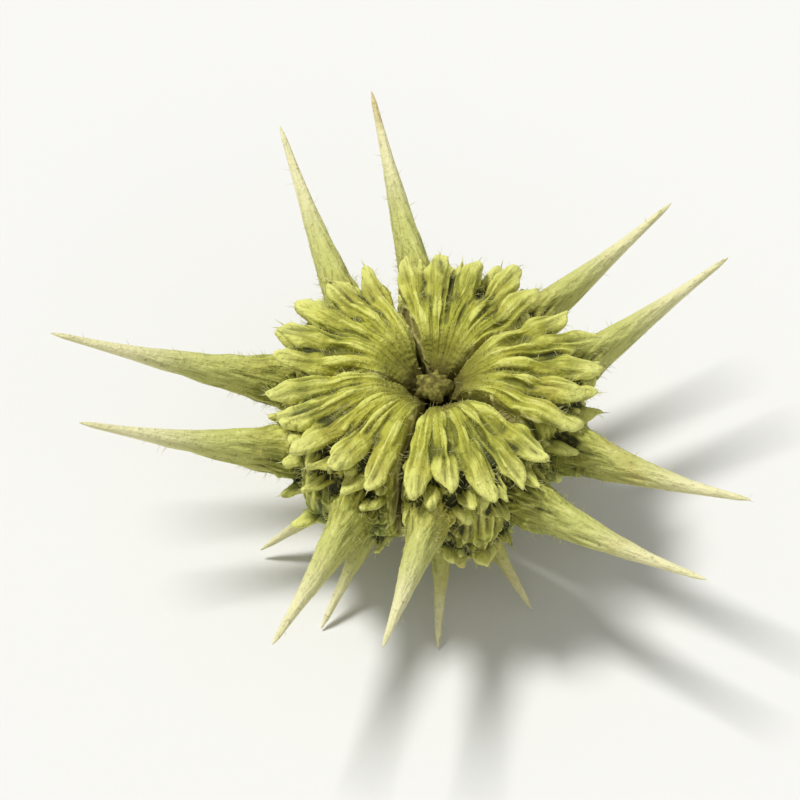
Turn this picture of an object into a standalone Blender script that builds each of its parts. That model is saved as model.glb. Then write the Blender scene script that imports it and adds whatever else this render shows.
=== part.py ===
"""A whole dry puncturevine fruit: a burr of five nutlets, about 20 mm across its spines.

Each nutlet is a hatchet-shaped wedge of a fifth of a turn. It carries two long spines
at half its height, two short spines at its foot, and rows of blunt teeth that spread
from the hollow in the middle of the top. The nutlets stand round one upright axis on
the flower's receptacle, which ends in a stub of the stalk, and the withered stigma is
left in the hollow.

Sizes are in millimetres, and MM turns them into Blender's metres. The origin is the
middle of the stalk's broken end, on the surface that the fruit stands on. +Z is the
fruit's axis with the stigma up.
"""

import math
import random

import bmesh
import bpy
from mathutils import Matrix, Vector

MM = 0.001

# The whole fruit
NUTLETS = 5
FIRST_NUTLET_DEG = 1.0
HALF_WEDGE_DEG = 180.0 / NUTLETS
SEAM_GAP = 0.12
SEED = 7

# A nutlet's body, measured from the fruit's axis and from the surface it stands on
BODY_RADIUS = 3.7
BODY_INNER_RADIUS = 0.3
BODY_MIDDLE = 3.85
BODY_HALF_HEIGHT = 2.3
SECTION_ROUNDNESS = 0.6
FLANK_FALL = 0.07
EDGE_ROUNDING = 0.07
SHOULDER_FALL = 0.05
HOLLOW_DEPTH = 1.6
HOLLOW_RADIUS = 1.9
FOOT_TAPER = 0.24
FOOT_LIFT = 0.2

# Relief raised from the body's surface
RIB_DEG = (-28.0, -14.0, 0.0, 14.0, 28.0)
RIB_HALF_WIDTH_DEG = 4.9
RIB_HEIGHT = 0.3
CREST_HALF_WIDTH_DEG = 8.0
CREST_HEIGHT = 0.32

# How much one nutlet may be wider or taller than the next
WIDTH_SPREAD = 0.025
HEIGHT_SPREAD = 0.02

# How finely a nutlet's body is divided
SECTIONS = 21
SECTION_STEPS = 22

# Rows of teeth. A row is the way along the meridian, from 0 at the top's inner end to 1
# at the foot's, the angles across the back, the length, half the width at the root, and
# how steeply the teeth rise.
TOOTH_ROWS = (
    (0.262, RIB_DEG, 1.15, 0.41, 6.0),
    (0.345, (-21.0, -7.0, 7.0, 21.0), 0.85, 0.31, 14.0),
    (0.440, (-28.0, -7.0, 7.0, 28.0), 0.75, 0.29, 10.0),
    (0.560, (-12.0, 0.0, 12.0), 0.64, 0.25, 0.0),
    (0.665, (-27.0, -6.5, 6.5, 27.0), 0.52, 0.23, -14.0),
    (0.790, (-19.0, 0.0, 19.0), 0.45, 0.21, -30.0),
)
TOOTH_SIDES = 6
TOOTH_ROOT = 0.65
TOOTH_ROOT_SHARE = 0.72
TOOTH_OUTLINE = ((0.0, 1.0), (0.45, 0.82), (0.8, 0.5), (1.0, 0.2))
TOOTH_FLATNESS = 0.62

# The two long spines of a nutlet
LONG_SPINE_AT = 0.475
LONG_SPINE_DEG = 20.5
LONG_SPINE_SPREAD_DEG = 34.0
LONG_SPINE_RISE_DEG = 13.0
LONG_SPINE_LENGTH = 6.6
LONG_SPINE_ROOT = (1.25, 0.68)
LONG_SPINE_SIDES = 8
LONG_SPINE_RINGS = 8

# The two short spines that a nutlet stands on
SHORT_SPINE_AT = 0.765
SHORT_SPINE_DEG = 14.5
SHORT_SPINE_FOOT_DEG = 17.5
SHORT_SPINE_FOOT_RADIUS = 4.7
SHORT_SPINE_ROOT = (0.62, 0.42)
SHORT_SPINE_SIDES = 6
SHORT_SPINE_RINGS = 5
SHORT_SPINE_LIFTS = (0.0, 0.22)

SPINE_TIP_RADIUS = 0.07
SPINE_SUNK = 0.9
SPINE_WIDTH_TAPER = 2.7
SPINE_THICKNESS_TAPER = 1.35
SPINE_BEND = 0.35

# Corners nearer than this are one corner once a solid is joined or turned
MERGE = 0.02

# Radius and height of the receptacle with its stalk, and of the stigma, from the top down
RECEPTACLE_PROFILE = (
    (0.00, 1.42),
    (0.60, 1.42),
    (0.98, 1.26),
    (1.08, 1.06),
    (0.86, 0.86),
    (0.52, 0.66),
    (0.44, 0.32),
    (0.48, 0.00),
    (0.00, 0.00),
)
STIGMA_PROFILE = (
    (0.00, 5.66),
    (0.20, 5.63),
    (0.44, 5.53),
    (0.54, 5.36),
    (0.46, 5.21),
    (0.25, 5.11),
    (0.00, 5.09),
)
TURNED_STEPS = 20
LOBE_DEPTH = 0.18


def smooth_step(value):
    """0 below 0, 1 above 1, and an even slope between."""
    held = max(0.0, min(1.0, value))
    return held * held * (3.0 - 2.0 * held)


def bump(offset, half_width):
    """A round rise that is 1 at the middle and fades to nothing at about twice half_width."""
    return math.exp(-((offset / half_width) ** 2))


def power(value, exponent):
    return math.copysign(abs(value) ** exponent, value)


def meridian(along, angle_deg):
    """Radius and height of the plain body, part of the way from the top's inner end to the foot's."""
    across = abs(angle_deg) / HALF_WEDGE_DEG
    outer = BODY_RADIUS * (1.0 - FLANK_FALL * across**2 - EDGE_ROUNDING * across**8)
    turn = math.pi * (0.5 - along)
    reach = power(math.cos(turn), SECTION_ROUNDNESS)
    climb = power(math.sin(turn), SECTION_ROUNDNESS)
    radius = BODY_INNER_RADIUS + (outer - BODY_INNER_RADIUS) * reach
    height = BODY_MIDDLE + BODY_HALF_HEIGHT * (1.0 - SHOULDER_FALL * across**2) * climb
    if climb > 0.0:
        height -= HOLLOW_DEPTH * climb * max(0.0, 1.0 - radius / HOLLOW_RADIUS) ** 2
    else:
        radius -= FOOT_TAPER * (radius - BODY_INNER_RADIUS) * climb**2
        height += FOOT_LIFT * climb**2 * (1.0 - radius / BODY_RADIUS)
    return radius, height


def relief(along, angle_deg):
    """How far ribs and crest stand out of the plain body."""
    on_top = smooth_step((along - 0.02) / 0.13) * smooth_step((0.46 - along) / 0.16)
    on_back = smooth_step((along - 0.26) / 0.14) * smooth_step((0.92 - along) / 0.18)
    ribs = sum(bump(angle_deg - rib, RIB_HALF_WIDTH_DEG) for rib in RIB_DEG)
    crest = bump(angle_deg, CREST_HALF_WIDTH_DEG)
    return RIB_HEIGHT * on_top * ribs + CREST_HEIGHT * on_back * crest


def plain_point(along, angle_deg):
    radius, height = meridian(along, angle_deg)
    angle = math.radians(angle_deg)
    return Vector((radius * math.cos(angle), radius * math.sin(angle), height))


def outward(along, angle_deg):
    """The direction square to the body's surface, without its slope across the back."""
    step = 0.01
    before = meridian(max(0.0, along - step), angle_deg)
    after = meridian(min(1.0, along + step), angle_deg)
    down = Vector((after[0] - before[0], 0.0, after[1] - before[1]))
    out = Vector((-down.z, 0.0, down.x)).normalized()
    return Matrix.Rotation(math.radians(angle_deg), 3, "Z") @ out


def skin_point(along, angle_deg):
    return plain_point(along, angle_deg) + outward(along, angle_deg) * relief(along, angle_deg)


def mesh_object(name, form):
    """An object made of a bmesh that is in millimetres."""
    bmesh.ops.scale(form, vec=(MM, MM, MM), verts=form.verts)
    bmesh.ops.recalc_face_normals(form, faces=form.faces)
    mesh = bpy.data.meshes.new(name)
    form.to_mesh(mesh)
    form.free()
    return bpy.data.objects.new(name, mesh)


def loft(name, rings):
    """A closed solid through rings of equally many points, with both end rings filled."""
    form = bmesh.new()
    rows = [[form.verts.new(point) for point in ring] for ring in rings]
    for row, following in zip(rows, rows[1:]):
        for i in range(len(row)):
            k = (i + 1) % len(row)
            form.faces.new((row[i], row[k], following[k], following[i]))
    form.faces.new(rows[0])
    form.faces.new(rows[-1])
    return mesh_object(name, form)


def oval(middle, across, up, sides):
    """Points round an oval, from its middle and its two half axes."""
    turns = [math.tau * k / sides for k in range(sides)]
    return [middle + across * math.cos(turn) + up * math.sin(turn) for turn in turns]


def nutlet_body(name):
    """The wedge without teeth and spines: upright sections through the axis, side by side.
    Their corners lie closest together in the hollow and at the foot."""
    ways = [0.5 - 0.5 * math.cos(math.pi * k / SECTION_STEPS) for k in range(SECTION_STEPS + 1)]
    sections = []
    for i in range(SECTIONS):
        angle_deg = HALF_WEDGE_DEG * (2.0 * i / (SECTIONS - 1) - 1.0)
        sections.append([skin_point(along, angle_deg) for along in ways])
    return loft(name, sections)


def tooth(name, foot, direction, length, radius):
    """A blunt tooth, wider than it is thick, whose root is sunk into the body."""
    side = Vector((0.0, 0.0, 1.0)).cross(direction).normalized()
    up = direction.cross(side)
    outline = ((-TOOTH_ROOT / length, TOOTH_ROOT_SHARE),) + TOOTH_OUTLINE
    ovals = []
    for share, width in outline:
        middle = foot + direction * length * share
        ovals.append(oval(middle, side * radius * width, up * radius * width * TOOTH_FLATNESS, TOOTH_SIDES))
    return loft(name, ovals)


def spine(name, foot, tip, root, sides, rings, bend):
    """A tapering thorn, broad in the upright direction at its root, as a loft of ovals."""
    way = (tip - foot).normalized()
    start = foot - way * SPINE_SUNK
    side = way.cross(Vector((0.0, 0.0, 1.0))).normalized()
    up = side.cross(way)
    wide, thick = root
    ovals = []
    for i in range(rings):
        share = i / (rings - 1)
        middle = start.lerp(tip, share) - up * bend * math.sin(math.pi * share)
        across = SPINE_TIP_RADIUS + (thick - SPINE_TIP_RADIUS) * (1.0 - share) ** SPINE_THICKNESS_TAPER
        upright = across + (wide - thick) * (1.0 - share) ** SPINE_WIDTH_TAPER
        ovals.append(oval(middle, side * across, up * upright, sides))
    return loft(name, ovals)


def teeth_of(draw):
    """The blunt teeth of one nutlet, each a little different."""
    made = []
    for along, angles, length, radius, rise_deg in TOOTH_ROWS:
        for angle_deg in angles:
            at = along + draw.uniform(-0.015, 0.015)
            across_deg = angle_deg + draw.uniform(-1.0, 1.0)
            aim = math.radians(across_deg * 1.05 + draw.uniform(-5.0, 5.0))
            rise = math.radians(rise_deg + draw.uniform(-10.0, 10.0))
            flat = Vector((math.cos(aim), math.sin(aim), 0.0)) * math.cos(rise)
            made.append(
                tooth(
                    "tooth",
                    skin_point(at, across_deg),
                    flat + Vector((0.0, 0.0, math.sin(rise))),
                    length * draw.uniform(0.8, 1.18),
                    radius * draw.uniform(0.92, 1.08),
                )
            )
    return made


def long_spines_of(draw):
    made = []
    for side in (-1.0, 1.0):
        foot = skin_point(LONG_SPINE_AT + draw.uniform(-0.02, 0.02), side * LONG_SPINE_DEG)
        spread = math.radians(side * (LONG_SPINE_SPREAD_DEG + draw.uniform(-3.5, 3.0)))
        rise = math.radians(LONG_SPINE_RISE_DEG + draw.uniform(-7.0, 8.0))
        flat = Vector((math.cos(spread), math.sin(spread), 0.0)) * math.cos(rise)
        way = flat + Vector((0.0, 0.0, math.sin(rise)))
        tip = foot + way * LONG_SPINE_LENGTH * draw.uniform(0.88, 1.06)
        bend = SPINE_BEND * draw.uniform(0.1, 1.0)
        made.append(
            spine("long_spine", foot, tip, LONG_SPINE_ROOT, LONG_SPINE_SIDES, LONG_SPINE_RINGS, bend)
        )
    return made


def short_spines_of(draw):
    """One of the two reaches the surface below, and the other ends a little above it."""
    made = []
    lifts = list(SHORT_SPINE_LIFTS)
    draw.shuffle(lifts)
    for side, lift in zip((-1.0, 1.0), lifts):
        foot = skin_point(SHORT_SPINE_AT, side * SHORT_SPINE_DEG)
        angle = math.radians(side * (SHORT_SPINE_FOOT_DEG + draw.uniform(-1.5, 1.5)))
        radius = SHORT_SPINE_FOOT_RADIUS + draw.uniform(-0.25, 0.25)
        tip = Vector((radius * math.cos(angle), radius * math.sin(angle), lift + SPINE_TIP_RADIUS))
        made.append(
            spine("short_spine", foot, tip, SHORT_SPINE_ROOT, SHORT_SPINE_SIDES, SHORT_SPINE_RINGS, 0.0)
        )
    return made


def merge_corners(mesh):
    """Merges corners that all but coincide, and drops any sliver left with a free edge."""
    form = bmesh.new()
    form.from_mesh(mesh)
    bmesh.ops.triangulate(form, faces=form.faces)
    bmesh.ops.remove_doubles(form, verts=form.verts, dist=MERGE * MM)
    bmesh.ops.dissolve_degenerate(form, dist=MERGE * MM / 4.0, edges=form.edges)
    slivers = [face for face in form.faces if any(len(edge.link_faces) == 1 for edge in face.edges)]
    while slivers:
        bmesh.ops.delete(form, geom=slivers, context="FACES")
        slivers = [face for face in form.faces if any(len(edge.link_faces) == 1 for edge in face.edges)]
    form.to_mesh(mesh)
    form.free()


def union_of(target, extras):
    """Joins the extras to the target as one closed solid, and removes them."""
    gathered = bpy.data.collections.new("extras")
    bpy.context.scene.collection.children.link(gathered)
    for extra in extras:
        gathered.objects.link(extra)
    joining = target.modifiers.new("join", "BOOLEAN")
    joining.operation = "UNION"
    joining.operand_type = "COLLECTION"
    joining.collection = gathered
    joining.solver = "MANIFOLD"
    bpy.context.view_layer.update()
    graph = bpy.context.evaluated_depsgraph_get()
    joined = bpy.data.meshes.new_from_object(target.evaluated_get(graph))
    merge_corners(joined)
    target.modifiers.clear()
    target.data = joined
    for extra in extras:
        bpy.data.objects.remove(extra)
    bpy.data.collections.remove(gathered)


def turned(name, profile, lobes):
    """A solid turned from a profile round the axis, then drawn in a little between its lobes."""
    form = bmesh.new()
    corners = [form.verts.new((radius * MM, 0.0, height * MM)) for radius, height in profile]
    for corner, following in zip(corners, corners[1:]):
        form.edges.new((corner, following))
    outline = bpy.data.meshes.new("outline")
    form.to_mesh(outline)
    form.free()
    blank = bpy.data.objects.new("outline", outline)
    bpy.context.scene.collection.objects.link(blank)
    turning = blank.modifiers.new("turn", "SCREW")
    turning.steps = TURNED_STEPS
    turning.render_steps = TURNED_STEPS
    turning.use_merge_vertices = True
    turning.merge_threshold = MERGE * MM
    graph = bpy.context.evaluated_depsgraph_get()
    mesh = bpy.data.meshes.new_from_object(blank.evaluated_get(graph))
    bpy.data.objects.remove(blank)
    for vertex in mesh.vertices:
        angle = math.atan2(vertex.co.y, vertex.co.x)
        drawn_in = 1.0 - LOBE_DEPTH * 0.5 * (1.0 - math.cos(lobes * angle))
        vertex.co.x *= drawn_in
        vertex.co.y *= drawn_in
    return bpy.data.objects.new(name, mesh)


def finish_of(name, colour, roughness):
    """A dull, dry plant surface of one colour."""
    made = bpy.data.materials.new(name)
    made.use_nodes = True
    shader = made.node_tree.nodes["Principled BSDF"]
    shader.inputs["Base Color"].default_value = (*colour, 1.0)
    shader.inputs["Roughness"].default_value = roughness
    shader.inputs["Metallic"].default_value = 0.0
    return made


def main():
    for old in list(bpy.data.objects):
        bpy.data.objects.remove(old)
    fruit = bpy.data.collections.new("puncturevine_fruit")
    bpy.context.scene.collection.children.link(fruit)

    rind = finish_of("dry_rind", (0.52, 0.55, 0.13), 0.7)
    stalk = finish_of("dry_stalk", (0.42, 0.38, 0.14), 0.75)
    withered = finish_of("withered_stigma", (0.16, 0.10, 0.035), 0.85)

    off_axis = SEAM_GAP / 2.0 / math.sin(math.radians(HALF_WEDGE_DEG))
    for number in range(NUTLETS):
        draw = random.Random(SEED + number)
        nutlet = nutlet_body(f"mericarp_{number + 1}")
        fruit.objects.link(nutlet)
        union_of(nutlet, teeth_of(draw) + long_spines_of(draw) + short_spines_of(draw))
        wider = 1.0 + draw.uniform(-WIDTH_SPREAD, WIDTH_SPREAD)
        taller = 1.0 + draw.uniform(-HEIGHT_SPREAD, HEIGHT_SPREAD)
        nutlet.data.transform(Matrix.Diagonal((wider, wider, taller, 1.0)))
        angle = math.radians(FIRST_NUTLET_DEG + number * 360.0 / NUTLETS)
        nutlet.rotation_euler = (0.0, 0.0, angle)
        nutlet.location = Vector((math.cos(angle), math.sin(angle), 0.0)) * off_axis * MM
        nutlet.data.materials.clear()
        nutlet.data.materials.append(rind)
        nutlet.data.shade_smooth()
        nutlet.data.set_sharp_from_angle(angle=math.radians(40.0))

    for name, profile, finish in (
        ("receptacle_and_stalk", RECEPTACLE_PROFILE, stalk),
        ("stigma", STIGMA_PROFILE, withered),
    ):
        piece = turned(name, profile, NUTLETS)
        fruit.objects.link(piece)
        piece.data.materials.append(finish)
        piece.data.shade_smooth()
        piece.data.set_sharp_from_angle(angle=math.radians(40.0))


main()
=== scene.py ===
import math
import random

import bmesh
import bpy
import numpy as np
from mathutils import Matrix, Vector, noise


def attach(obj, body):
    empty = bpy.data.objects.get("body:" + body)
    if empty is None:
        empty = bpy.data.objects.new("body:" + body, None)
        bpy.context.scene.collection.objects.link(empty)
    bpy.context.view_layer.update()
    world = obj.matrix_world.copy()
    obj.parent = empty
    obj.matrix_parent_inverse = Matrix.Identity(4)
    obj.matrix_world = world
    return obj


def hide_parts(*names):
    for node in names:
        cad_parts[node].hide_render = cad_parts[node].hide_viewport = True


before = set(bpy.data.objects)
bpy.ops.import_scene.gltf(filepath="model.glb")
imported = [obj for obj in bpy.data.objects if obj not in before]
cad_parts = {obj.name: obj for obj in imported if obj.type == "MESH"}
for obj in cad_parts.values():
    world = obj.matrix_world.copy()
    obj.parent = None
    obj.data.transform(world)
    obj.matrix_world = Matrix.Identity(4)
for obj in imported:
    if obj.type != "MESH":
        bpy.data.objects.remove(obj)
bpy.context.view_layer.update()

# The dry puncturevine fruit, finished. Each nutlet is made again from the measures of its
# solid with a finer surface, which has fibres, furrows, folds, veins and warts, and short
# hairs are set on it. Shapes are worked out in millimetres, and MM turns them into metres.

MM = 0.001

# The whole fruit
NUTLETS = 5
FIRST_NUTLET_DEG = 1.0
HALF_WEDGE_DEG = 180.0 / NUTLETS
HALF_WEDGE = math.radians(HALF_WEDGE_DEG)
SEAM_GAP = 0.12

# What the random draws start from. The first is the solid's own.
SEED = 7
WART_SEED = 100
BOW_SEED = 200
HAIR_SEED = 400

# A nutlet's body, measured from the fruit's axis and from the surface it stands on
BODY_RADIUS = 3.7
BODY_INNER_RADIUS = 0.3
BODY_MIDDLE = 3.85
BODY_HALF_HEIGHT = 2.3
SECTION_ROUNDNESS = 0.6
FLANK_FALL = 0.07
EDGE_ROUNDING = 0.07
EDGE_SHARPNESS = 8
SHOULDER_FALL = 0.05
HOLLOW_DEPTH = 1.6
HOLLOW_RADIUS = 1.9
FOOT_TAPER = 0.24
FOOT_LIFT = 0.2
WIDTH_SPREAD = 0.025
HEIGHT_SPREAD = 0.02

# Relief raised from the body's surface. Places along the meridian run from 0 at the top's
# inner end to 1 at the foot's. A fade is where something starts and where it is full.
RIB_DEG = (-28.0, -14.0, 0.0, 14.0, 28.0)
RIB_HALF_WIDTH_DEG = 4.9
RIB_HEIGHT = 0.3
RIB_FADES = ((0.02, 0.15), (0.46, 0.30))
CREST_HALF_WIDTH_DEG = 8.0
CREST_HEIGHT = 0.32
CREST_FADES = ((0.26, 0.40), (0.92, 0.74))
SLOPE_STEP = 0.01

# Rows of teeth. A row is its place along the meridian, the angles across the back, the
# length, half the width at the root, and how steeply the teeth rise.
TOOTH_ROWS = (
    (0.262, RIB_DEG, 1.15, 0.41, 6.0),
    (0.345, (-21.0, -7.0, 7.0, 21.0), 0.85, 0.31, 14.0),
    (0.440, (-28.0, -7.0, 7.0, 28.0), 0.75, 0.29, 10.0),
    (0.560, (-12.0, 0.0, 12.0), 0.64, 0.25, 0.0),
    (0.665, (-27.0, -6.5, 6.5, 27.0), 0.52, 0.23, -14.0),
    (0.790, (-19.0, 0.0, 19.0), 0.45, 0.21, -30.0),
)
TOOTH_ROOT = 0.65
TOOTH_ROOT_SHARE = 0.72
TOOTH_OUTLINE = ((0.0, 1.0), (0.45, 0.83), (0.78, 0.53), (0.93, 0.33), (1.0, 0.1))
TOOTH_FLATNESS = 0.62

# How far one tooth differs from the next. The fan turns a tooth out further than its foot.
TOOTH_PLACE_SPREAD = 0.015
TOOTH_ACROSS_SPREAD_DEG = 1.0
TOOTH_FAN = 1.05
TOOTH_AIM_SPREAD_DEG = 5.0
TOOTH_RISE_SPREAD_DEG = 10.0
TOOTH_LENGTHS = (0.8, 1.18)
TOOTH_WIDTHS = (0.92, 1.08)
TOOTH_BOWS = (-0.07, 0.12)

# The two long and the two short spines of a nutlet. A root is half the upright width and
# half the thickness.
LONG_SPINE_AT = 0.475
LONG_SPINE_DEG = 20.5
LONG_SPINE_SPREAD_DEG = 34.0
LONG_SPINE_RISE_DEG = 13.0
LONG_SPINE_LENGTH = 6.6
LONG_SPINE_ROOT = (1.25, 0.68)
SHORT_SPINE_AT = 0.765
SHORT_SPINE_DEG = 14.5
SHORT_SPINE_FOOT_DEG = 17.5
SHORT_SPINE_FOOT_RADIUS = 4.7
SHORT_SPINE_ROOT = (0.62, 0.42)
SHORT_SPINE_LIFTS = (0.0, 0.22)
SPINE_TIP_RADIUS = 0.07
SPINE_SUNK = 0.9
SPINE_WIDTH_TAPER = 2.7
SPINE_THICKNESS_TAPER = 1.35
SPINE_BEND = 0.35

# How far one spine differs from the next
LONG_SPINE_PLACE_SPREAD = 0.02
LONG_SPINE_TURNS_DEG = (-3.5, 3.0)
LONG_SPINE_RISES_DEG = (-7.0, 8.0)
LONG_SPINE_LENGTHS = (0.88, 1.06)
LONG_SPINE_BENDS = (0.1, 1.0)
SHORT_SPINE_TURN_SPREAD_DEG = 1.5
SHORT_SPINE_RADIUS_SPREAD = 0.25

# A spine rounds to a tip over its last stretch. The least is the part of that stretch that
# its very end still counts as having left.
SPINE_TIP_LENGTH = 0.4
SPINE_TIP_LEAST = 0.03

# Small pointed warts between the teeth, which only the finished surface has
WARTS = 46
WART_PLACES = (0.26, 0.86)
WART_SPREAD_DEG = 32.0
WART_LEAN = 0.35
WART_RISE = 0.3
WART_LENGTH = 0.26
WART_LENGTHS = (0.5, 1.3)
WART_RADIUS = 0.12
WART_WIDTHS = (0.7, 1.3)

# Narrow folds that run down into the hollow of the crown
FOLD_HEIGHT = 0.13
FOLD_TOP = 0.4
FOLDS_PER_DEG = 0.24
FOLDS_ALONG = 3.0
FOLD_FADES = ((0.01, 0.06), (0.36, 0.22))

# How the body and its thorns are melted into one skin: the points of a section of the body,
# its sections, the size of the skin's facets, the least half width that they can hold, and
# how far and how often they are softened
BODY_ROWS = 91
BODY_COLUMNS = 97
VOXEL = 0.048
THINNEST = 0.05
SOFTENING = 0.5
SOFTENING_ROUNDS = 3

# A thorn owns the skin within its reach, which is a share of its section, and a short way
# past its ends. From its fade on, a spine's skin is held to the spine's own ovals. A tooth's
# root is softened towards its buried end. The kinds of skin shade into one another.
THORN_REACH = 1.3
THORN_END_REACH = 0.1
SPINE_HOLD_FADE = (0.28, 0.40)
NEAREST_TO_AXIS = 0.2
ROOT_FADE = (0.36, 0.16)
ROOT_SOFTENING = 0.6
ROOT_ROUNDS = 8
KIND_ROUNDS = 6

# How deep the finish of the flat sides between the nutlets reaches
SIDE_DEPTH = 0.1

# Fibres run along the meridian or the spine, and have their width at the grain's radius.
# Lumps make the skin uneven, and a net of veins covers the flat sides and shows faintly on
# the lower back.
FIBRE_WIDTH = 0.17
FIBRE_LENGTH = 1.5
FIBRE_HEIGHT = 0.08
FIBRE_TOP = 0.5
GRAIN_RADIUS = 3.0
LUMP_SIZE = 0.6
LUMP_HEIGHT = 0.11
VEIN_SPACING = 0.75
VEIN_WIDTH = 0.16
VEIN_HEIGHT = 0.06
VEIN_HEIGHT_FADE = (5.2, 4.6)
VEIN_TOOTH_FADE = (0.3, 0.1)

# A spine is firmer than the body: it loses these shares of the fibres and lumps, and all
# relief towards its tip
SPINE_FIRM_FADE = (0.12, 0.37)
SPINE_EVEN_FADE = (0.85, 0.45)
FIBRES_LOST = 0.5
LUMPS_LOST = 0.8

# How far each pattern is moved for the next nutlet, so that no two are alike
FOLD_SHIFT = 9.0
LUMP_SHIFT = 11.0
VEIN_SHIFT = 5.0

# The rounds of averaging that make the surroundings of a furrow, and of a gap between teeth.
# Their depths set the rind's painted shade and painted highlights.
FURROW_ROUNDS = 14
GAP_ROUNDS = 60

# Hairs, and the bristle on each tooth. Few hairs grow on spines and in the hollow.
HAIRS = 1100
HAIR_LENGTHS = (0.12, 0.32)
HAIR_RADIUS = 0.007
HAIR_LEAN = 0.45
HAIR_WANDER = 0.28
HAIR_BENDS = (0.05, 0.3)
SPINE_BARE_FROM = 0.35
HAIRS_ON_SPINES = 0.06
HOLLOW_BARE_TO = 1.2
HAIRS_IN_HOLLOW = 0.2
BRISTLE_LENGTHS = (0.18, 0.36)
BRISTLE_RADIUS = 0.022
BRISTLE_SUNK = 0.1
BRISTLE_WANDER = 0.15
BRISTLE_BENDS = (0.0, 0.3)

# The rings of a hair or bristle: a share of its length, and of its radius
NEEDLE_SIDES = 3
NEEDLE_RINGS = ((-0.2, 1.0), (0.5, 0.7))

# Radius and height of the stalk's stub with its disc, and of the stigma, from the top down
STALK_PROFILE = (
    (0.00, 1.42),
    (0.60, 1.42),
    (0.98, 1.26),
    (1.08, 1.06),
    (0.86, 0.86),
    (0.52, 0.66),
    (0.44, 0.32),
    (0.48, 0.00),
    (0.00, 0.00),
)
STIGMA_PROFILE = (
    (0.00, 5.66),
    (0.20, 5.63),
    (0.44, 5.53),
    (0.54, 5.36),
    (0.46, 5.21),
    (0.25, 5.11),
    (0.00, 5.09),
)
LOBE_DEPTH = 0.18
OUTLINE_ROUNDS = 3

# Their wrinkles: how deep as a share of the radius, how many fit in a radian and, upwards,
# in a millimetre, and how high and how close together their uneven places are
STALK_WRINKLES = 0.12
STIGMA_WRINKLES = 0.3
WRINKLES_ROUND = 3.2
WRINKLES_UP = 0.9
UNEVEN_HEIGHT = 0.05
UNEVEN_PER_MM = 5.0


def fade(value, start, full):
    """0 before start, 1 past full, and an even slope between."""
    held = np.clip((value - start) / (full - start), 0.0, 1.0)
    return held * held * (3.0 - 2.0 * held)


def within(value, fades):
    """1 where both fades are full."""
    coming, going = fades
    return fade(value, *coming) * fade(value, *going)


def ridged(wave, top):
    """Turns noise that waves about 0 into narrow ridges as high as top."""
    return top - 2.0 * np.abs(wave)


def unit(vector):
    return vector / np.linalg.norm(vector)


def spread(draw, most):
    """A random difference of at most this much either way."""
    return draw.uniform(-most, most)


def meridian(along, angle_deg):
    """Radius and height of the plain body, at a place along the meridian."""
    across = abs(angle_deg) / HALF_WEDGE_DEG
    fall = FLANK_FALL * across**2 + EDGE_ROUNDING * across**EDGE_SHARPNESS
    outer = BODY_RADIUS * (1.0 - fall)
    turn = math.pi * (0.5 - along)
    reach = abs(math.cos(turn)) ** SECTION_ROUNDNESS
    climb = math.copysign(abs(math.sin(turn)) ** SECTION_ROUNDNESS, math.sin(turn))
    radius = BODY_INNER_RADIUS + (outer - BODY_INNER_RADIUS) * reach
    height = BODY_MIDDLE + BODY_HALF_HEIGHT * (1.0 - SHOULDER_FALL * across**2) * climb
    if climb > 0.0:
        height -= HOLLOW_DEPTH * climb * max(0.0, 1.0 - radius / HOLLOW_RADIUS) ** 2
    else:
        radius -= FOOT_TAPER * (radius - BODY_INNER_RADIUS) * climb**2
        height += FOOT_LIFT * climb**2 * (1.0 - radius / BODY_RADIUS)
    return radius, height


def relief(along, angle_deg):
    """How far ribs and crest stand out of the plain body."""
    ribs = sum(math.exp(-(((angle_deg - rib) / RIB_HALF_WIDTH_DEG) ** 2)) for rib in RIB_DEG)
    crest = math.exp(-((angle_deg / CREST_HALF_WIDTH_DEG) ** 2))
    raised = RIB_HEIGHT * within(along, RIB_FADES) * ribs
    return raised + CREST_HEIGHT * within(along, CREST_FADES) * crest


def outward(along, angle_deg):
    """The direction square to the body's surface, without its slope across the back."""
    before = meridian(max(0.0, along - SLOPE_STEP), angle_deg)
    after = meridian(min(1.0, along + SLOPE_STEP), angle_deg)
    out = unit(np.array((before[1] - after[1], after[0] - before[0])))
    angle = math.radians(angle_deg)
    return np.array((out[0] * math.cos(angle), out[0] * math.sin(angle), out[1]))


def skin_point(along, angle_deg):
    radius, height = meridian(along, angle_deg)
    angle = math.radians(angle_deg)
    plain = np.array((radius * math.cos(angle), radius * math.sin(angle), height))
    return plain + outward(along, angle_deg) * relief(along, angle_deg)


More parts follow.
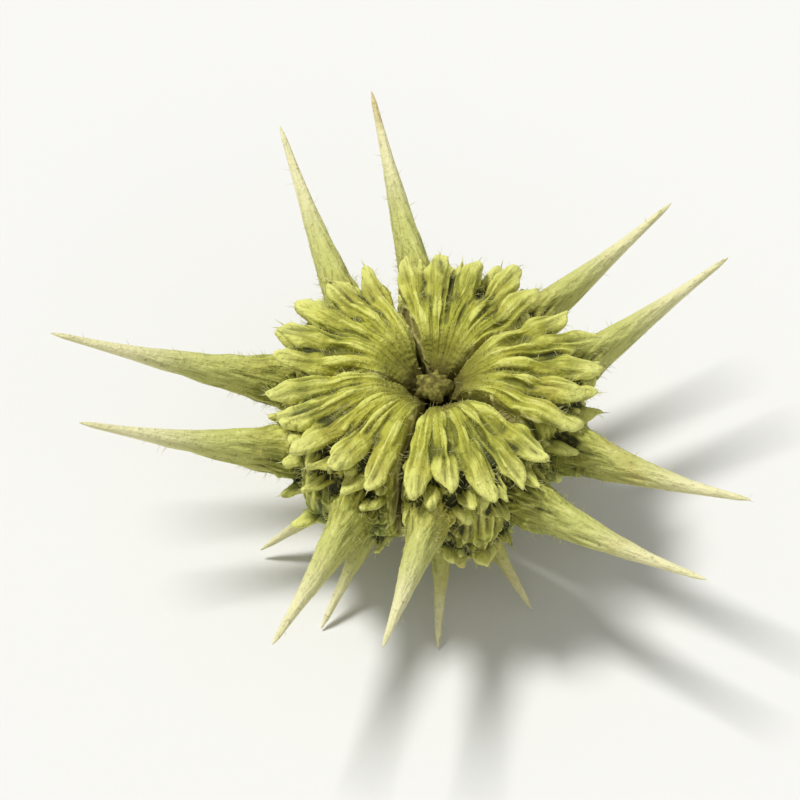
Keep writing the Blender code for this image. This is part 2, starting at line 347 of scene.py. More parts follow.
class Thorn:
    """A tooth, wart or spine: an axis with an oval section that narrows along it."""

    def __init__(self, start, tip, bow=0.0):
        self.start = start
        self.tip = tip
        self.bow = bow
        self.length = np.linalg.norm(tip - start)
        self.way = unit(tip - start)
        self.side = unit(np.cross(self.way, (0.0, 0.0, 1.0)))
        self.up = np.cross(self.side, self.way)

    def sections(self, share):
        """Half width and half height of the section, part of the way from root to tip."""
        raise NotImplementedError

    def middle(self, share):
        """The point of the bowed axis at this share of it."""
        share = np.asarray(share)[..., None]
        line = self.start + (self.tip - self.start) * share
        return line - self.up * self.bow * np.sin(math.pi * share)

    def rings(self):
        """Rings of points round the axis, from root to tip."""
        turns = np.arange(self.SIDES)[:, None] * math.tau / self.SIDES
        made = []
        for share in np.linspace(0.0, 1.0, self.RINGS):
            wide, high = np.maximum(self.sections(share), THINNEST)
            oval = self.side * np.cos(turns) * wide + self.up * np.sin(turns) * high
            made.append(self.middle(share) + oval)
        return made

    def locate(self, points):
        """Each point's share along the axis, its offsets, and how far out it is there."""
        raw = (points - self.start) @ self.way / self.length
        share = np.clip(raw, 0.0, 1.0)
        offset = points - self.middle(share)
        across = offset @ self.side
        upward = offset @ self.up
        wide, high = np.maximum(self.sections(share), THINNEST)
        past = np.maximum(0.0, np.abs(raw - 0.5) - 0.5) * self.length / THORN_END_REACH
        out = np.sqrt((across / wide) ** 2 + (upward / high) ** 2 + past**2)
        return share, across, upward, out

    def on_oval(self, share, across, upward):
        """The points of the thorn's own ovals that lie in the same way from its axis."""
        wide, high = self.sections(share)
        out = np.maximum(NEAREST_TO_AXIS, np.sqrt((across / wide) ** 2 + (upward / high) ** 2))
        offset = np.outer(across / out, self.side) + np.outer(upward / out, self.up)
        return self.middle(share) + offset


class Tooth(Thorn):
    """A blunt tooth, wider than it is thick, whose root is sunk into the body."""

    RINGS = 14
    SIDES = 14

    def __init__(self, foot, direction, length, radius):
        super().__init__(foot - direction * TOOTH_ROOT, foot + direction * length)
        whole = TOOTH_ROOT + length
        self.places = [0.0] + [(TOOTH_ROOT + length * share) / whole for share, _ in TOOTH_OUTLINE]
        self.widths = [radius * TOOTH_ROOT_SHARE] + [radius * width for _, width in TOOTH_OUTLINE]

    def sections(self, share):
        wide = np.interp(share, self.places, self.widths)
        return wide, wide * TOOTH_FLATNESS


class Spine(Thorn):
    """A tapering spine, broad in the upright direction at its root."""

    RINGS = 60
    SIDES = 24

    def __init__(self, foot, tip, root, bow):
        way = unit(tip - foot)
        super().__init__(foot - way * SPINE_SUNK, tip, bow)
        self.wide, self.thick = root

    def sections(self, share):
        left = 1.0 - share
        thick = SPINE_TIP_RADIUS + (self.thick - SPINE_TIP_RADIUS) * left**SPINE_THICKNESS_TAPER
        high = thick + (self.wide - self.thick) * left**SPINE_WIDTH_TAPER
        rounding = np.sqrt(np.clip(left * self.length / SPINE_TIP_LENGTH, SPINE_TIP_LEAST, 1.0))
        return thick * rounding, high * rounding


def level(aim, rise):
    """A direction that points aim round the axis and rises by rise, both in radians."""
    flat = math.cos(rise)
    return np.array((math.cos(aim) * flat, math.sin(aim) * flat, math.sin(rise)))


def teeth_of(draw):
    """The blunt teeth of one nutlet, drawn in the same order as in the solid."""
    made = []
    for along, angles, length, radius, rise_deg in TOOTH_ROWS:
        for angle_deg in angles:
            at = along + spread(draw, TOOTH_PLACE_SPREAD)
            across_deg = angle_deg + spread(draw, TOOTH_ACROSS_SPREAD_DEG)
            aim = math.radians(across_deg * TOOTH_FAN + spread(draw, TOOTH_AIM_SPREAD_DEG))
            rise = math.radians(rise_deg + spread(draw, TOOTH_RISE_SPREAD_DEG))
            long = length * draw.uniform(*TOOTH_LENGTHS)
            half_width = radius * draw.uniform(*TOOTH_WIDTHS)
            made.append(Tooth(skin_point(at, across_deg), level(aim, rise), long, half_width))
    return made


def long_spines_of(draw):
    made = []
    for side in (-1.0, 1.0):
        at = LONG_SPINE_AT + spread(draw, LONG_SPINE_PLACE_SPREAD)
        foot = skin_point(at, side * LONG_SPINE_DEG)
        turn = math.radians(side * (LONG_SPINE_SPREAD_DEG + draw.uniform(*LONG_SPINE_TURNS_DEG)))
        rise = math.radians(LONG_SPINE_RISE_DEG + draw.uniform(*LONG_SPINE_RISES_DEG))
        tip = foot + level(turn, rise) * LONG_SPINE_LENGTH * draw.uniform(*LONG_SPINE_LENGTHS)
        bend = SPINE_BEND * draw.uniform(*LONG_SPINE_BENDS)
        made.append(Spine(foot, tip, LONG_SPINE_ROOT, bend))
    return made


def short_spines_of(draw):
    """One of the two reaches the surface below, and the other ends a little above it."""
    made = []
    lifts = list(SHORT_SPINE_LIFTS)
    draw.shuffle(lifts)
    for side, lift in zip((-1.0, 1.0), lifts):
        foot = skin_point(SHORT_SPINE_AT, side * SHORT_SPINE_DEG)
        turn_deg = SHORT_SPINE_FOOT_DEG + spread(draw, SHORT_SPINE_TURN_SPREAD_DEG)
        turn = math.radians(side * turn_deg)
        radius = SHORT_SPINE_FOOT_RADIUS + spread(draw, SHORT_SPINE_RADIUS_SPREAD)
        height = lift + SPINE_TIP_RADIUS
        tip = np.array((radius * math.cos(turn), radius * math.sin(turn), height))
        made.append(Spine(foot, tip, SHORT_SPINE_ROOT, 0.0))
    return made


def warts_of(draw):
    made = []
    for _ in range(WARTS):
        along = draw.uniform(*WART_PLACES)
        angle_deg = spread(draw, WART_SPREAD_DEG)
        lean = WART_LEAN * level(math.radians(angle_deg), WART_RISE)
        direction = unit(outward(along, angle_deg) + lean)
        length = WART_LENGTH * draw.uniform(*WART_LENGTHS)
        half_width = WART_RADIUS * draw.uniform(*WART_WIDTHS)
        made.append(Tooth(skin_point(along, angle_deg), direction, length, half_width))
    return made


def thorns_of(number):
    """The teeth, spines and warts of one nutlet, and how much wider and taller it is."""
    draw = random.Random(SEED + number)
    teeth = teeth_of(draw)
    spines = long_spines_of(draw) + short_spines_of(draw)
    wider = 1.0 + spread(draw, WIDTH_SPREAD)
    taller = 1.0 + spread(draw, HEIGHT_SPREAD)
    bows = random.Random(BOW_SEED + number)
    for tooth in teeth:
        tooth.bow = bows.uniform(*TOOTH_BOWS)
    warts = warts_of(random.Random(WART_SEED + number))
    return teeth, spines, warts, (wider, taller)


def add_loft(vertices, faces, rings):
    """Adds a closed loft through rings of equally many points to the lists."""
    first = len(vertices)
    count = len(rings[0])
    for ring in rings:
        vertices.extend(tuple(point) for point in ring)
    for row in range(len(rings) - 1):
        low = first + row * count
        for i in range(count):
            k = (i + 1) % count
            faces.append((low + i, low + k, low + count + k, low + count + i))
    faces.append(tuple(range(first, first + count)))
    faces.append(tuple(range(len(vertices) - count, len(vertices))))


def folded_point(along, angle_deg, number):
    """A point of the skin with the folds of the crown."""
    place = Vector((angle_deg * FOLDS_PER_DEG, along * FOLDS_ALONG, FOLD_SHIFT * number))
    fold = FOLD_HEIGHT * within(along, FOLD_FADES) * ridged(noise.noise(place), FOLD_TOP)
    return skin_point(along, angle_deg) + outward(along, angle_deg) * fold


def body_rings(number):
    """Upright sections of the body, whose points lie closest in the hollow and at the foot."""
    last = BODY_ROWS - 1
    ways = [0.5 - 0.5 * math.cos(math.pi * k / last) for k in range(BODY_ROWS)]
    angles = np.linspace(-HALF_WEDGE_DEG, HALF_WEDGE_DEG, BODY_COLUMNS)
    return [[folded_point(along, angle_deg, number) for along in ways] for angle_deg in angles]


def drop_crumbs(mesh):
    """Takes away the loose crumbs that melting leaves beside a fine point."""
    form = bmesh.new()
    form.from_mesh(mesh)
    front = [min(form.verts, key=lambda vertex: vertex.co.xy.length)]
    reached = set(front)
    while front:
        vertex = front.pop()
        for edge in vertex.link_edges:
            other = edge.other_vert(vertex)
            if other not in reached:
                reached.add(other)
                front.append(other)
    crumbs = [vertex for vertex in form.verts if vertex not in reached]
    bmesh.ops.delete(form, geom=crumbs, context="VERTS")
    form.to_mesh(mesh)
    form.free()


def melted(number, thorns):
    """A nutlet's body and thorns as one skin of even, softened facets."""
    vertices, faces = [], []
    add_loft(vertices, faces, body_rings(number))
    for thorn in thorns:
        add_loft(vertices, faces, thorn.rings())
    mesh = bpy.data.meshes.new("shapes")
    mesh.from_pydata(vertices, [], faces)
    shapes = bpy.data.objects.new("shapes", mesh)
    bpy.context.scene.collection.objects.link(shapes)
    melting = shapes.modifiers.new("melt", "REMESH")
    melting.mode = "VOXEL"
    melting.voxel_size = VOXEL
    softening = shapes.modifiers.new("soften", "SMOOTH")
    softening.factor = SOFTENING
    softening.iterations = SOFTENING_ROUNDS
    graph = bpy.context.evaluated_depsgraph_get()
    skin = bpy.data.meshes.new_from_object(shapes.evaluated_get(graph))
    bpy.data.objects.remove(shapes)
    drop_crumbs(skin)
    return skin


def points_of(mesh):
    flat = np.empty(len(mesh.vertices) * 3, dtype=np.float32)
    mesh.vertices.foreach_get("co", flat)
    return flat.reshape(-1, 3).astype(float)


def set_points(mesh, points):
    mesh.vertices.foreach_set("co", points.astype(np.float32).ravel())
    mesh.update()


def normals_of(mesh):
    flat = np.empty(len(mesh.vertices) * 3, dtype=np.float32)
    mesh.vertex_normals.foreach_get("vector", flat)
    return flat.reshape(-1, 3).astype(float)


def edges_of(mesh):
    edges = np.empty(len(mesh.edges) * 2, dtype=np.int32)
    mesh.edges.foreach_get("vertices", edges)
    return edges.reshape(-1, 2)


def neighbours_mean(values, edges):
    """The mean of each point's neighbours, column by column."""
    count = len(values)
    ends = np.concatenate((edges[:, 0], edges[:, 1]))
    others = np.concatenate((edges[:, 1], edges[:, 0]))
    number = np.maximum(1, np.bincount(ends, minlength=count))
    sums = [np.bincount(ends, weights=column[others], minlength=count) for column in values.T]
    return np.stack(sums, axis=1) / number[:, None]


def depth_of(mesh, points, edges, rounds):
    """How deep each point lies below the surface that its surroundings would make."""
    even = points
    for _ in range(rounds):
        even = neighbours_mean(even, edges)
    return np.einsum("ij,ij->i", even - points, normals_of(mesh))


def keep(mesh, name, values):
    """Stores a value or a vector for each point of the mesh, for its material."""
    kind, field = ("FLOAT", "value") if values.ndim == 1 else ("FLOAT_VECTOR", "vector")
    stored = mesh.attributes.new(name, kind, "POINT")
    stored.data.foreach_set(field, values.astype(np.float32).ravel())


def kept(mesh, name):
    """The values that keep stored under this name."""
    values = np.empty(len(mesh.vertices), dtype=np.float32)
    mesh.attributes[name].data.foreach_get("value", values)
    return values


def ripple(places, size):
    """Soft noise from -1 to 1 with waves of this size."""
    return np.array([noise.noise(Vector(place)) for place in places / size])


def net(places):
    """1 along the veins of an uneven net, 0 between them."""
    near = np.array([noise.voronoi(Vector(place))[0][:2] for place in places / VEIN_SPACING])
    return fade((near[:, 1] - near[:, 0]) * VEIN_SPACING, VEIN_WIDTH, 0.0)


def fit_to_thorns(points, thorns):
    """Moves the points of each spine onto its own ovals. Gives how far along a tooth and
    along a spine each point is, and its place in the grain, whose third axis the fibres
    follow."""
    nearest = np.full(len(points), THORN_REACH)
    tooth = np.zeros(len(points))
    spine = np.zeros(len(points))
    angle = np.arctan2(points[:, 1], points[:, 0])
    down = np.hypot(points[:, 0], points[:, 1]) - points[:, 2]
    grain = np.stack((angle * GRAIN_RADIUS, np.zeros(len(points)), down), axis=1)
    for thorn in thorns:
        share, across, upward, out = thorn.locate(points)
        mine = out < nearest
        nearest[mine] = out[mine]
        tooth[mine] = share[mine]
        spine[mine] = 0.0
        if isinstance(thorn, Spine):
            tooth[mine] = 0.0
            spine[mine] = share[mine]
            grain[mine] = np.stack((across, upward, share * thorn.length), axis=1)[mine]
            hold = np.where(mine, fade(share, *SPINE_HOLD_FADE), 0.0)
            points += (thorn.on_oval(share, across, upward) - points) * hold[:, None]
    return tooth, spine, grain


def nutlet_skin(number, thorns):
    """One nutlet's mesh in millimetres, in its own frame, with what its material needs."""
    mesh = melted(number, thorns)
    points = points_of(mesh)
    edges = edges_of(mesh)
    reach = np.hypot(points[:, 0], points[:, 1])
    tooth, spine, grain = fit_to_thorns(points, thorns)
    root = np.where(tooth > 0.0, fade(tooth, *ROOT_FADE), 0.0)[:, None]
    for _ in range(ROOT_ROUNDS):
        points += (neighbours_mean(points, edges) - points) * ROOT_SOFTENING * root
    set_points(mesh, points)
    kinds = np.stack((tooth, spine), axis=1)
    for _ in range(KIND_ROUNDS):
        kinds = neighbours_mean(kinds, edges)
    tooth, spine = kinds.T

    inside = points[:, 0] * math.sin(HALF_WEDGE) - np.abs(points[:, 1]) * math.cos(HALF_WEDGE)
    side = fade(inside, SIDE_DEPTH, 0.0)
    fibres = ridged(ripple(grain, (FIBRE_WIDTH, FIBRE_WIDTH, FIBRE_LENGTH)), FIBRE_TOP)
    lumps = ripple(points + LUMP_SHIFT * number, LUMP_SIZE)
    veins = net(points + VEIN_SHIFT * number)
    veined = fade(points[:, 2], *VEIN_HEIGHT_FADE) * fade(tooth, *VEIN_TOOTH_FADE)
    firm = fade(spine, *SPINE_FIRM_FADE)
    rise = FIBRE_HEIGHT * fibres * (1.0 - FIBRES_LOST * firm)
    rise += LUMP_HEIGHT * lumps * (1.0 - LUMPS_LOST * firm)
    rise += VEIN_HEIGHT * veins * veined * (1.0 - firm)
    rise *= (1.0 - side) * fade(spine, *SPINE_EVEN_FADE)
    rise -= VEIN_HEIGHT * (1.0 - veins) * side
    points += normals_of(mesh) * rise[:, None]
    set_points(mesh, points)

    marks = {
        "tooth": tooth,
        "spine": spine,
        "side": side,
        "vein": veins,
        "grain": grain,
        # the depths of furrows and gaps set the rind's painted shade and painted highlights
        "furrow": depth_of(mesh, points, edges, FURROW_ROUNDS),
        "gap": depth_of(mesh, points, edges, GAP_ROUNDS),
        "reach": reach,
        "height": points[:, 2],
    }
    for name, values in marks.items():
        keep(mesh, name, values)
    return mesh, points


def add_needle(vertices, faces, foot, way, side, length, radius, bend):
    """A needle that bends over as it narrows to a point."""
    over = np.cross(side, way)
    first = len(vertices)
    for share, narrow in NEEDLE_RINGS:
        middle = foot + way * length * share - over * bend * length * share**2
        for k in range(NEEDLE_SIDES):
            turn = math.tau * k / NEEDLE_SIDES
            offset = side * math.cos(turn) + over * math.sin(turn)
            vertices.append(middle + offset * radius * narrow)
    vertices.append(foot + way * length - over * bend * length)
    faces.append(tuple(range(first + NEEDLE_SIDES - 1, first - 1, -1)))
    low, high = first, first + NEEDLE_SIDES
    point = high + NEEDLE_SIDES
    for i in range(NEEDLE_SIDES):
        k = (i + 1) % NEEDLE_SIDES
        faces.append((low + i, low + k, high + k, high + i))
        faces.append((high + i, high + k, point))


def hairs_on(mesh, points, teeth, number):
    """Short stiff hairs that lean outwards, and a bristle on every tooth, in millimetres in
    the nutlet's own frame."""
    draw = np.random.default_rng(HAIR_SEED + number)
    normals = normals_of(mesh)
    weight = 1.0 - kept(mesh, "side")
    weight *= np.where(kept(mesh, "spine") > SPINE_BARE_FROM, HAIRS_ON_SPINES, 1.0)
    weight *= np.where(kept(mesh, "reach") < HOLLOW_BARE_TO, HAIRS_IN_HOLLOW, 1.0)
    vertices, faces = [], []
    for index in draw.choice(len(points), size=HAIRS, replace=False, p=weight / weight.sum()):
        foot = points[index]
        lean = HAIR_LEAN * unit(np.array((foot[0], foot[1], 0.0)))
        way = unit(normals[index] + lean + draw.normal(0.0, HAIR_WANDER, 3))
        side = unit(np.cross(way, draw.normal(0.0, 1.0, 3)))
        length = draw.uniform(*HAIR_LENGTHS)
        bend = draw.uniform(*HAIR_BENDS)
        add_needle(vertices, faces, foot, way, side, length, HAIR_RADIUS, bend)
    for tooth in teeth:
        way = unit(tooth.way + draw.normal(0.0, BRISTLE_WANDER, 3))
        side = unit(np.cross(way, draw.normal(0.0, 1.0, 3)))
        length = draw.uniform(*BRISTLE_LENGTHS)
        bend = draw.uniform(*BRISTLE_BENDS)
        foot = tooth.tip - way * BRISTLE_SUNK
        add_needle(vertices, faces, foot, way, side, length, BRISTLE_RADIUS, bend)
    return np.array(vertices), faces


def set_in_fruit(number, growth, points):
    """Moves points from a nutlet's own frame to its place round the fruit's axis, in metres."""
    wider, taller = growth
    turn = math.radians(FIRST_NUTLET_DEG + number * 360.0 / NUTLETS)
    off_axis = SEAM_GAP / 2.0 / math.sin(HALF_WEDGE)
    x = points[:, 0] * wider + off_axis
    y = points[:, 1] * wider
    turned_x = x * math.cos(turn) - y * math.sin(turn)
    turned_y = x * math.sin(turn) + y * math.cos(turn)
    return np.stack((turned_x, turned_y, points[:, 2] * taller), axis=1) * MM


def smooth_outline(profile, rows):
    """Radii and heights along an outline that runs smoothly through the profile."""
    marks = np.array(profile)
    steps = np.concatenate(([0.0], np.cumsum(np.hypot(*np.diff(marks, axis=0).T))))
    places = np.linspace(0.0, steps[-1], rows)
    outline = [np.interp(places, steps, column) for column in marks.T]
    for _ in range(OUTLINE_ROUNDS):
        for line in outline:
            line[1:-1] = (line[:-2] + 2.0 * line[1:-1] + line[2:]) / 4.0
    return outline


def turned_skin(name, profile, rows, sides, wrinkles):
    """A turned shape, drawn in between its lobes, with wrinkles."""
    radii, heights = smooth_outline(profile, rows)
    vertices, faces = [], []
    for radius, height in zip(radii[1:-1], heights[1:-1]):
        for k in range(sides):
            turn = math.tau * k / sides
            x, y = math.cos(turn), math.sin(turn)
            place = Vector((x * WRINKLES_ROUND, y * WRINKLES_ROUND, height * WRINKLES_UP))
            drawn_in = LOBE_DEPTH * 0.5 * (1.0 - math.cos(NUTLETS * turn))
            lobed = radius * (1.0 - drawn_in) * (1.0 + wrinkles * noise.noise(place))
            place = Vector((lobed * x * UNEVEN_PER_MM, lobed * y * UNEVEN_PER_MM, height))
            lift = UNEVEN_HEIGHT * noise.noise(place)
            vertices.append((lobed * x * MM, lobed * y * MM, (height + lift) * MM))
    last = len(vertices) - sides
    top, bottom = len(vertices), len(vertices) + 1
    vertices += [(0.0, 0.0, heights[0] * MM), (0.0, 0.0, heights[-1] * MM)]
    for i in range(sides):
        k = (i + 1) % sides
        for low in range(0, last, sides):
            faces.append((low + i, low + sides + i, low + sides + k, low + k))
        faces.append((top, i, k))
        faces.append((bottom, last + k, last + i))
    mesh = bpy.data.meshes.new(name)
    mesh.from_pydata(vertices, [], faces)
    return mesh


def linear(colour):
    """An sRGB hex value as linear red, green, blue and alpha."""
    parts = [int(colour[i : i + 2], 16) / 255.0 for i in (1, 3, 5)]
    parts = [part / 12.92 if part <= 0.04045 else ((part + 0.055) / 1.055) ** 2.4 for part in parts]
    return (*parts, 1.0)


def per_metre(size):
    """How many of a size in millimetres fit in a metre, which is what a pattern's scale says."""
    return 1.0 / (size * MM)


def feed(tree, node, inputs):
    """Sets a node's inputs, each to a value or to the output that feeds it."""
    for name, value in inputs.items():
        if isinstance(value, bpy.types.NodeSocket):
            tree.links.new(value, node.inputs[name])
        else:
            node.inputs[name].default_value = value


def add(tree, kind, settings, inputs, output=0):
    """Adds a node with its settings and links, and gives one of its outputs."""
    node = tree.nodes.new(kind)
    for name, value in settings.items():
        setattr(node, name, value)
    feed(tree, node, inputs)
    return node.outputs[output]


def start_finish(name):
    finish = bpy.data.materials.new(name)
    finish.use_nodes = True
    return finish, finish.node_tree, finish.node_tree.nodes["Principled BSDF"]


# Settings that several nodes share
SMOOTH = {"interpolation_type": "SMOOTHSTEP"}
COLOUR_MIX = {"data_type": "RGBA"}
MULTIPLY = {"operation": "MULTIPLY"}


def laid_over(tree, colour, layers, marks):
    """Lays colours over one another. A layer says which mark it follows, the mark's value
    where it starts and where it is full, how much it then covers, the mark that holds it
    back or None, and its colour."""
    for mark, start, full, cover, held_by, over in layers:
        span = {"Value": marks[mark], "From Min": start, "From Max": full, "To Max": cover}
        share = add(tree, "ShaderNodeMapRange", SMOOTH, span)
        if held_by:
            share = add(tree, "ShaderNodeMath", MULTIPLY, {0: share, 1: marks[held_by]})
        colour = add(tree, "ShaderNodeMix", COLOUR_MIX, {0: share, 6: colour, 7: linear(over)}, 2)
    return colour


# The rind's colours, from the ground up: green and yellow fibres, yellow clouds, a greener
# lower half, a crown that is yellow and is also painted paler for the light on the fruit's
# top, a painted highlight on the raised lobes and ridges, pale teeth, straw spines that end
# almost white, tan dry patches, dark and light fibres, and painted shade, olive in the
# furrows and dark in the gaps between the teeth. Height, reach from the axis, and the depths
# of furrows and gaps are in millimetres, and a place along a tooth or spine runs from 0 to 1.
RIND_GROUND = "#7C8026"
RIND_LAYERS = (
    ("fibres", 0.36, 0.64, 1.0, None, "#A3A33E"),
    ("clouds", 0.42, 0.62, 0.8, None, "#B4AC44"),
    ("height", 4.6, 2.8, 0.7, None, "#6C7F32"),
    # the crown's own yellow, also painted paler for the light on the fruit's top
    ("reach", 3.5, 2.2, 0.6, None, "#C4C444"),
    # a painted highlight on the raised lobes and on the ridges
    ("gap", -0.03, -0.11, 0.8, None, "#CCCC56"),
    ("furrow", -0.015, -0.05, 0.75, None, "#DEDE76"),
    ("tooth", 0.4, 0.98, 0.8, None, "#E2E282"),
    ("spine", 0.15, 0.42, 1.0, None, "#C6C771"),
    ("spine", 0.4, 0.8, 1.0, None, "#EBE5B0"),
    ("patches", 0.56, 0.72, 0.5, None, "#BE964A"),
    ("fibres", 0.47, 0.36, 0.55, "off_tips", "#6F7220"),
    ("fibres", 0.56, 0.68, 0.5, "off_tips", "#ECEB96"),
    # painted shade, olive in the furrows and dark in the gaps between the teeth, less on the crown
    ("furrow", 0.0, 0.035, 0.75, "painted_shade_off_crown", "#53561A"),
    ("gap", -0.01, 0.065, 0.94, "painted_shade_off_crown", "#33360B"),
)

# The flat sides between the nutlets: dull tan, with a paler net of veins
FACE_GROUND = "#A59C50"
FACE_LAYERS = (("vein", 0.1, 0.8, 1.0, None, "#DDD592"),)
FACE_COVER = 0.8

# Over all: the hollow of the crown turns brown towards the axis, and freckles
LAST_LAYERS = (
    ("reach", 1.7, 0.9, 0.7, None, "#84802A"),
    ("reach", 1.0, 0.5, 0.8, None, "#6A5F24"),
    ("freckles", 0.6, 0.74, 0.4, None, "#66622A"),
)

# The rind's patterns: cloudy patches, freckles, and tan patches. Each has its size in
# millimetres, its detail and its roughness.
RIND_PATTERNS = (
    ("clouds", 3.03, 3.0, 0.55),
    ("freckles", 0.1538, 2.0, 0.6),
    ("patches", 5.88, 4.0, 0.6),
)

# The rind's fibres are about 0.06 mm wide and 1.2 mm long, and are drawn twice as wide as
# they are so that they show: width, width and length in millimetres
RIND_FIBRES = (0.125, 0.125, 1.25)


def dry_rind():
    """Dry green rind, corky and finely fibrous: dull, yellow-green, pale on every tip, with a
    painted highlight on every ridge and lobe, painted olive shade in the furrows and dark
    shade in the gaps between the teeth, and brown in the hollow of the crown."""
    finish, tree, shader = start_finish("dry_rind")
    marks = {}
    for name in ("tooth", "spine", "side", "vein", "furrow", "gap", "reach", "height"):
        marks[name] = add(tree, "ShaderNodeAttribute", {"attribute_name": name}, {}, "Fac")
    place = add(tree, "ShaderNodeTexCoord", {}, {}, "Object")
    for name, size, detail, roughness in RIND_PATTERNS:
        pattern = {"Vector": place, "Scale": per_metre(size), "Detail": detail, "Roughness": roughness}
        marks[name] = add(tree, "ShaderNodeTexNoise", {}, pattern)
    grain = add(tree, "ShaderNodeAttribute", {"attribute_name": "grain"}, {}, "Vector")
    grain = add(tree, "ShaderNodeVectorMath", {"operation": "DIVIDE"}, {0: grain, 1: RIND_FIBRES})
    pattern = {"Vector": grain, "Scale": 1.0, "Detail": 4.0, "Roughness": 0.6}
    marks["fibres"] = add(tree, "ShaderNodeTexNoise", {}, pattern)

    # a spine's tip has few streaks, and the crown's middle has less painted shade
    span = {"Value": marks["spine"], "From Min": 0.7, "From Max": 0.25, "To Min": 0.25}
    marks["off_tips"] = add(tree, "ShaderNodeMapRange", SMOOTH, span)
    span = {"Value": marks["reach"], "From Min": 2.2, "From Max": 3.5, "To Min": 0.45}
    marks["painted_shade_off_crown"] = add(tree, "ShaderNodeMapRange", SMOOTH, span)

    colour = laid_over(tree, linear(RIND_GROUND), RIND_LAYERS, marks)
    face = laid_over(tree, linear(FACE_GROUND), FACE_LAYERS, marks)
    covered = add(tree, "ShaderNodeMath", MULTIPLY, {0: marks["side"], 1: FACE_COVER})
    colour = add(tree, "ShaderNodeMix", COLOUR_MIX, {0: covered, 6: colour, 7: face}, 2)
    colour = laid_over(tree, colour, LAST_LAYERS, marks)

    # raised fibres are worn smoother than the ground between them
    span = {"Value": marks["fibres"], "From Min": 0.3, "From Max": 0.7, "To Min": 0.78, "To Max": 0.52}
    grit = {0: marks["freckles"], 1: 0.7, 2: marks["fibres"]}
    height = add(tree, "ShaderNodeMath", {"operation": "MULTIPLY_ADD"}, grit)
    bump = {"Strength": 1.0, "Distance": 0.09 * MM, "Height": height}
    looks = {
        "Base Color": colour,
        "Roughness": add(tree, "ShaderNodeMapRange", SMOOTH, span),
        "Normal": add(tree, "ShaderNodeBump", {}, bump),
        "IOR": 1.45,
        "Specular IOR Level": 0.4,
        "Subsurface Weight": 0.05,
        "Subsurface Radius": (0.5, 0.45, 0.12),
        "Subsurface Scale": 0.6 * MM,
        "Sheen Weight": 0.08,
        "Sheen Roughness": 0.5,
        "Sheen Tint": linear("#EDE9B8"),
    }
    feed(tree, shader, looks)
    return finish


def pale_hair():
    """Dry plant hair: thin and stiff, straw-coloured and a little glossy."""
    finish, tree, shader = start_finish("pale_hair")
    feed(tree, shader, {"Base Color": linear("#D8D68E"), "Roughness": 0.55, "IOR": 1.5})
    return finish


def dry_stalk():
    """Dry stalk: dull, with straw and olive fibres that run along it."""
    finish, tree, shader = start_finish("dry_stalk")
    place = add(tree, "ShaderNodeTexCoord", {}, {}, "Object")
    # fibres 0.15 mm wide and ten times as long
    fibre = (per_metre(0.1538), per_metre(0.1538), per_metre(1.43))
    place = add(tree, "ShaderNodeVectorMath", MULTIPLY, {0: place, 1: fibre})
    fibres = add(tree, "ShaderNodeTexNoise", {}, {"Vector": place, "Scale": 1.0, "Detail": 4.0})
    layers = (("fibres", 0.35, 0.65, 1.0, None, "#B5A868"),)
    bump = {"Strength": 0.6, "Distance": 0.04 * MM, "Height": fibres}
    looks = {
        "Base Color": laid_over(tree, linear("#6B6428"), layers, {"fibres": fibres}),
        "Roughness": 0.75,
        "Normal": add(tree, "ShaderNodeBump", {}, bump),
        "IOR": 1.45,
    }
    feed(tree, shader, looks)
    return finish


def withered_stigma():
    """Withered tissue: olive-brown, wrinkled and dull."""
    finish, tree, shader = start_finish("withered_stigma")
    place = add(tree, "ShaderNodeTexCoord", {}, {}, "Object")
    # wrinkles 0.2 mm apart
    pattern = {"Vector": place, "Scale": per_metre(0.2), "Detail": 5.0, "Roughness": 0.65}
    wrinkles = add(tree, "ShaderNodeTexNoise", {}, pattern)
    layers = (("wrinkles", 0.38, 0.68, 1.0, None, "#A09A46"),)
    bump = {"Strength": 0.8, "Distance": 0.06 * MM, "Height": wrinkles}
    looks = {
        "Base Color": laid_over(tree, linear("#5A521C"), layers, {"wrinkles": wrinkles}),
        "Roughness": 0.85,
        "Normal": add(tree, "ShaderNodeBump", {}, bump),
        "IOR": 1.45,
    }
    feed(tree, shader, looks)
    return finish


def pale_paper():
    """Matt white paper under the fruit."""
    finish, tree, shader = start_finish("pale_paper")
    feed(tree, shader, {"Base Color": linear("#E6E5E1"), "Roughness": 0.9})
    return finish


def show(name, mesh, finish):
    """Puts a mesh into the scene as a piece of the fruit."""
    piece = bpy.data.objects.new(name, mesh)
    bpy.context.scene.collection.objects.link(piece)
    mesh.materials.append(finish)
    mesh.shade_smooth()
    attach(piece, "root")
    return piece


rind, hair = dry_rind(), pale_hair()

for number in range(NUTLETS):
    teeth, spines, warts, growth = thorns_of(number)
    skin, places = nutlet_skin(number, teeth + spines + warts)
    needles, needle_faces = hairs_on(skin, places, teeth, number)
    set_points(skin, set_in_fruit(number, growth, places))
    nutlet = show(f"nutlet_{number + 1}", skin, rind)
    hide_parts(f"mericarp_{number + 1}")
    fuzz = bpy.data.meshes.new(f"hairs_{number + 1}")
    fuzz.from_pydata(set_in_fruit(number, growth, needles).tolist(), [], needle_faces)
    show(f"hairs_{number + 1}", fuzz, hair)

stub = turned_skin("stalk_stub", STALK_PROFILE, rows=60, sides=90, wrinkles=STALK_WRINKLES)
foot = show("stalk_stub", stub, dry_stalk())
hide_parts("receptacle_and_stalk")

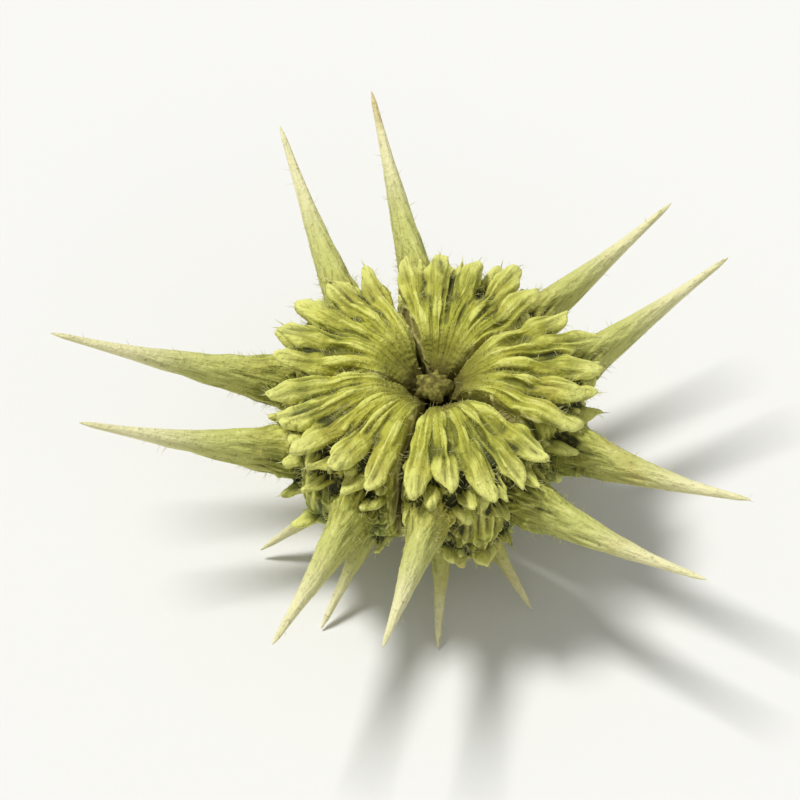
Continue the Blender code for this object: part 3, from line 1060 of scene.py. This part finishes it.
tuft = turned_skin("withered_tip", STIGMA_PROFILE, rows=40, sides=80, wrinkles=STIGMA_WRINKLES)
remnant = show("withered_tip", tuft, withered_stigma())
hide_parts("stigma")

# The floor is metres wide, so that it fills the view
FLOOR_HALF = 3.0
corners = [(x * FLOOR_HALF, y * FLOOR_HALF, 0.0) for x, y in ((-1, -1), (1, -1), (1, 1), (-1, 1))]
ground = bpy.data.meshes.new("floor")
ground.from_pydata(corners, [], [(0, 1, 2, 3)])
ground.materials.append(pale_paper())
floor = bpy.data.objects.new("floor", ground)
bpy.context.scene.collection.objects.link(floor)


def soft_sun(name, way, softness_deg, power):
    """Light that falls along way, from a patch of sky so many degrees across."""
    lamp = bpy.data.lights.new(name, "SUN")
    lamp.angle = math.radians(softness_deg)
    lamp.energy = power
    holder = bpy.data.objects.new(name, lamp)
    bpy.context.scene.collection.objects.link(holder)
    holder.rotation_euler = Vector(way).to_track_quat("-Z", "Y").to_euler()


soft_sun("key", way=(0.42, -0.22, -1.0), softness_deg=14.0, power=2.8)
soft_sun("fill", way=(-0.5, 0.9, -0.8), softness_deg=70.0, power=0.35)

bpy.context.scene.view_settings.view_transform = "Standard"
room = bpy.data.worlds.new("soft_room")
bpy.context.scene.world = room
room.use_nodes = True
sky = {"Color": linear("#F4F6F8"), "Strength": 0.36}
feed(room.node_tree, room.node_tree.nodes["Background"], sky)

# The camera looks at a point of the fruit, in metres, from in front and above
LOOKED_AT = Vector((-0.0009, 0.0011, 0.0035))
CAMERA_RISE = math.radians(50.0)
CAMERA_DISTANCE = 0.150
lens = bpy.data.cameras.new("camera")
lens.lens = 248.0
lens.sensor_width = 36.0
lens.clip_start = 0.005
camera = bpy.data.objects.new("camera", lens)
bpy.context.scene.collection.objects.link(camera)
away = Vector((0.0, -math.cos(CAMERA_RISE), math.sin(CAMERA_RISE)))
camera.location = LOOKED_AT + CAMERA_DISTANCE * away
camera.rotation_euler = (math.pi / 2.0 - CAMERA_RISE, 0.0, 0.0)
bpy.context.scene.camera = camera
